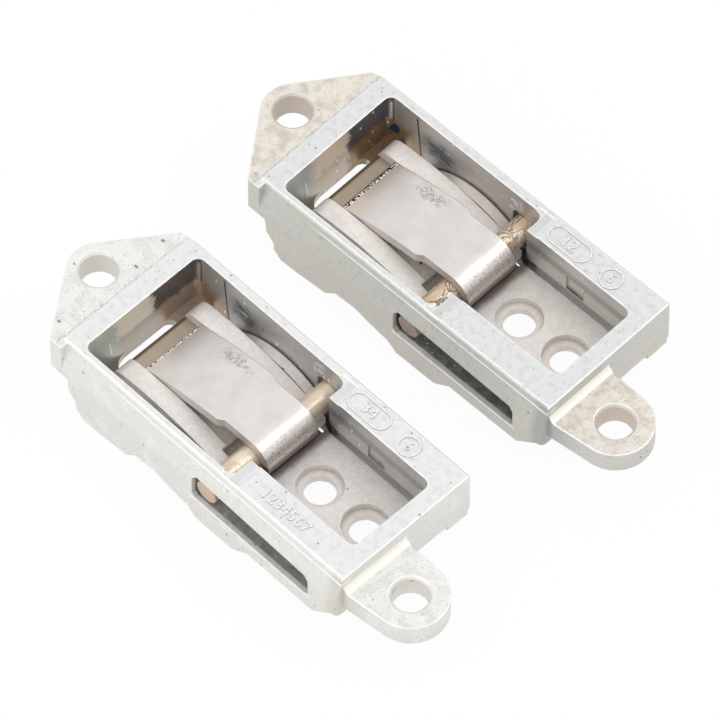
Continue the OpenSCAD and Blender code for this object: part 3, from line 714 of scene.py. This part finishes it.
def greased_pin(side):
    """Cross pin with darker ends, partly painted shade inside the slots, under crinkled yellow grease on one
    hinge and a film on the other.
    """
    t = Tree(f"pin_steel_{side}", HINGES[side])
    folds = t.noise(1.2, 3.0, 0.5, stretch=(1.4, 1.0, 1.4), distortion=0.7)
    crease = t.fall(t.size(t.calc("SUBTRACT", folds, 0.5)), 0.0, 0.035)
    tone = PIN[side]
    if side == "a":
        colour = t.mix(t.step(folds, 0.35, 0.62), tone["low"], tone["high"])
        colour = t.mix(t.times(crease, 0.7), colour, tone["crease"])
    else:
        colour = t.mix(t.step(folds, 0.35, 0.65), tone["low"], tone["high"])
    # Darker ends: partly their own tone, partly painted shade inside the slots
    end = t.most(t.fall(t.y, -4.72, -4.7), t.step(t.y, 4.5, 4.52))
    colour = t.mix(t.times(end, 0.85), colour, tone["end"])
    t.set("Base Color", colour)
    t.set("Metallic", 0.45)
    t.set("Roughness", t.blend(folds, 0.22, 0.4))
    height = t.calc("ADD", folds, t.times(crease, -0.4))
    t.relief(t.times(height, t.rest(end)), 0.16 if side == "a" else 0.02, 0.08)
    return t.material


def dress(node, material):
    """Gives a CAD node its one material."""
    slots = frame["nodes"][node].data.materials
    slots.clear()
    slots.append(material)


def dress_hinges():
    """Gives every CAD node its material."""
    for side in SIDES:
        dress(f"housing_{side}", cast_metal(side))
        dress(f"spring_pin_{side}", greased_pin(side))
        dress(f"band_spring_{side}", spring_steel(side))
        for part in ("pressure_frame", "support_arm", "attachment_plate"):
            dress(f"{part}_{side}", sintered_steel(side, part))


def cast_mark(side):
    """Raised cast marks: tops a little brighter than the rim as painted highlight, flanks darker as painted
    shade.
    """
    t = Tree(f"cast_mark_{side}", HINGES[side])
    nz = t.faces()[2]
    grain = t.noise(8.0, 4.0)
    worn = t.mix(t.step(grain, 0.42, 0.6), BRIGHT_MARK, CAST[side]["rim"])
    # Painted shade on the flanks, painted highlight on the tops
    t.set("Base Color", t.mix(t.step(nz, 0.4, 0.8), DIRT["mark_flank"], worn))
    t.set("Metallic", 0.5)
    t.set("Roughness", t.blend(grain, 0.4, 0.6))
    t.relief(grain, 0.02, 0.03)
    return t.material


def settle(name, made, side, centre, material):
    """Turns a flat mark's mesh to its place on the hinge and lets it ride on the housings."""
    place = Matrix.Translation(HINGES[side].out(centre)) @ Matrix.Rotation(HINGES[side].turn, 4, "Z")
    made.data.transform(place)
    made.name = name
    made.data.materials.clear()
    made.data.materials.append(material)
    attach(made, "housings")


def ring_mark(name, side, centre, half_length, radius, material):
    """Raised obround or round outline on a rail."""
    mesh = bmesh.new()
    rings = []
    for z in (-MARK_SINK, MARK_H):
        for r in (radius - MARK_W / 2, radius + MARK_W / 2):
            loop = []
            for i in range(RING_STEPS):
                angle = 2 * math.pi * i / RING_STEPS
                shift = half_length if math.cos(angle) >= 0 else -half_length
                corner = (shift + r * math.cos(angle), r * math.sin(angle), z)
                loop.append(mesh.verts.new([c * MM for c in corner]))
            rings.append(loop)
    for low, high in ((0, 1), (1, 3), (3, 2), (2, 0)):
        for i in range(RING_STEPS):
            j = (i + 1) % RING_STEPS
            mesh.faces.new((rings[low][i], rings[low][j], rings[high][j], rings[high][i]))
    bmesh.ops.recalc_face_normals(mesh, faces=mesh.faces)
    data = bpy.data.meshes.new(name)
    mesh.to_mesh(data)
    made = bpy.data.objects.new(name, data)
    bpy.context.scene.collection.objects.link(made)
    settle(name, made, side, centre, material)


def number_mark(name, side, centre, digits, height, material):
    """Raised plain digits, which read from the lug's end."""
    curve = bpy.data.curves.new(name, "FONT")
    curve.body = digits
    curve.size = height * MM
    curve.extrude = (MARK_H + MARK_SINK) / 2 * MM
    curve.resolution_u = 3
    curve.align_x = curve.align_y = "CENTER"
    text = bpy.data.objects.new(name + "_text", curve)
    bpy.context.scene.collection.objects.link(text)
    data = bpy.data.meshes.new_from_object(text)
    bpy.data.objects.remove(text)
    made = bpy.data.objects.new(name, data)
    bpy.context.scene.collection.objects.link(made)
    settle(name, made, side, (centre[0], centre[1], (MARK_H - MARK_SINK) / 2), material)


def cast_marks():
    """Plain rings and numbers where a casting carries its mould's numbers."""
    for side in SIDES:
        metal = cast_mark(side)
        for kind, ((x, y), half_length, radius, _, _) in MARKS[side].items():
            ring_mark(f"{kind}_ring_{side}", side, (x, y, 0), half_length, radius, metal)
        for kind, (place, _, _, digits, height) in MARKS[side].items():
            number_mark(f"{kind}_number_{side}", side, place, digits, height, metal)
    place, digits, height = RAIL_NUMBER
    number_mark("rail_number_b", "b", place, digits, height, cast_mark("b"))


def floor():
    """Pale floor that shows the object's soft shadow on white, and is nearly clear to the camera."""
    bpy.ops.mesh.primitive_plane_add(size=FLOOR_SIDE, location=(0, 0, 0))
    made = bpy.context.object
    made.name = "floor"
    t = Tree("white_floor")
    t.set("Base Color", (0.93, 0.93, 0.93, 1))
    t.set("Roughness", 0.9)
    path = t.add("LightPath").outputs
    reflected = t.times(t.most(path["Is Glossy Ray"], path["Is Transmission Ray"]), 1 - FLOOR_SHADOW)
    white = t.add("Emission", {"Color": (1, 1, 1, 1), "Strength": 1.0}).outputs[0]
    shown = t.add("MixShader", {0: reflected, 1: t.shader.outputs[0], 2: white}).outputs[0]
    clear = t.add("BsdfTransparent").outputs[0]
    through = t.times(path["Is Camera Ray"], 1 - FLOOR_SHADOW)
    output = [n for n in t.tree.nodes if n.type == "OUTPUT_MATERIAL"][0]
    t.link(t.add("MixShader", {0: through, 1: shown, 2: clear}).outputs[0], output.inputs["Surface"])
    made.data.materials.append(t.material)


def world():
    """Plain pale surroundings, brighter above, which look white to the camera."""
    made = bpy.data.worlds.new("studio")
    bpy.context.scene.world = made
    made.use_nodes = True
    tree = made.node_tree
    tree.nodes.clear()
    kinds = ("OutputWorld", "Background", "Background", "LightPath", "MixShader", "TexCoord", "SeparateXYZ",
             "MapRange", "Math", "Math")
    output, light, white, path, mix, coordinates, split, height, either, seen = [
        tree.nodes.new("ShaderNode" + kind) for kind in kinds]
    tree.links.new(coordinates.outputs["Generated"], split.inputs[0])
    tree.links.new(split.outputs[2], height.inputs["Value"])
    height.inputs["To Min"].default_value = SKY_LOW
    height.inputs["To Max"].default_value = SKY_HIGH
    tree.links.new(height.outputs[0], light.inputs["Strength"])
    for background in (light, white):
        background.inputs["Color"].default_value = (1, 1, 1, 1)
    either.operation = seen.operation = "MAXIMUM"
    tree.links.new(path.outputs["Is Camera Ray"], either.inputs[0])
    tree.links.new(path.outputs["Is Glossy Ray"], either.inputs[1])
    tree.links.new(either.outputs[0], seen.inputs[0])
    tree.links.new(path.outputs["Is Transmission Ray"], seen.inputs[1])
    tree.links.new(seen.outputs[0], mix.inputs[0])
    tree.links.new(light.outputs[0], mix.inputs[1])
    tree.links.new(white.outputs[0], mix.inputs[2])
    tree.links.new(mix.outputs[0], output.inputs["Surface"])


def lamp(name, azimuth, elevation, size, watts):
    """Square soft lamp that looks at the object from that direction."""
    light = bpy.data.lights.new(name, "AREA")
    light.size = size
    light.energy = watts
    made = bpy.data.objects.new(name, light)
    bpy.context.scene.collection.objects.link(made)
    a, e = math.radians(azimuth), math.radians(elevation)
    back = Vector((math.sin(a) * math.cos(e), -math.cos(a) * math.cos(e), math.sin(e)))
    made.location = back * LAMP_DISTANCE
    made.rotation_mode = "QUATERNION"
    made.rotation_quaternion = back.to_track_quat("Z", "Y")


def lights():
    """Soft lamps in front and behind."""
    for values in LAMPS:
        lamp(*values)


def camera():
    """Camera at the photograph's viewing angle, with the aim point at its pixel."""
    a, e = VIEW_AZIMUTH, VIEW_ELEVATION
    back = Vector((math.sin(a) * math.cos(e), -math.cos(a) * math.cos(e), math.sin(e)))
    right = Vector((math.cos(a), math.sin(a), 0))
    up = back.cross(right)
    beside = (AIM_PIXEL[0] - IMAGE_SIDE / 2) / PIXELS_PER_MM * MM
    below = (AIM_PIXEL[1] - IMAGE_SIDE / 2) / PIXELS_PER_MM * MM
    target = HINGES["a"].out((*AIM, 0)) - right * beside + up * below
    data = bpy.data.cameras.new("camera")
    data.sensor_width = SENSOR
    data.lens = SENSOR * PIXELS_PER_MM * VIEW_DISTANCE / MM / IMAGE_SIDE
    data.clip_start = 0.01
    made = bpy.data.objects.new("camera", data)
    bpy.context.scene.collection.objects.link(made)
    made.rotation_mode = "QUATERNION"
    made.rotation_quaternion = back.to_track_quat("Z", "Y")
    made.location = target + back * VIEW_DISTANCE
    bpy.context.scene.camera = made


camera()
floor()
world()
lights()
dress_hinges()
cast_marks()

bpy.context.scene.view_settings.view_transform = "Standard"
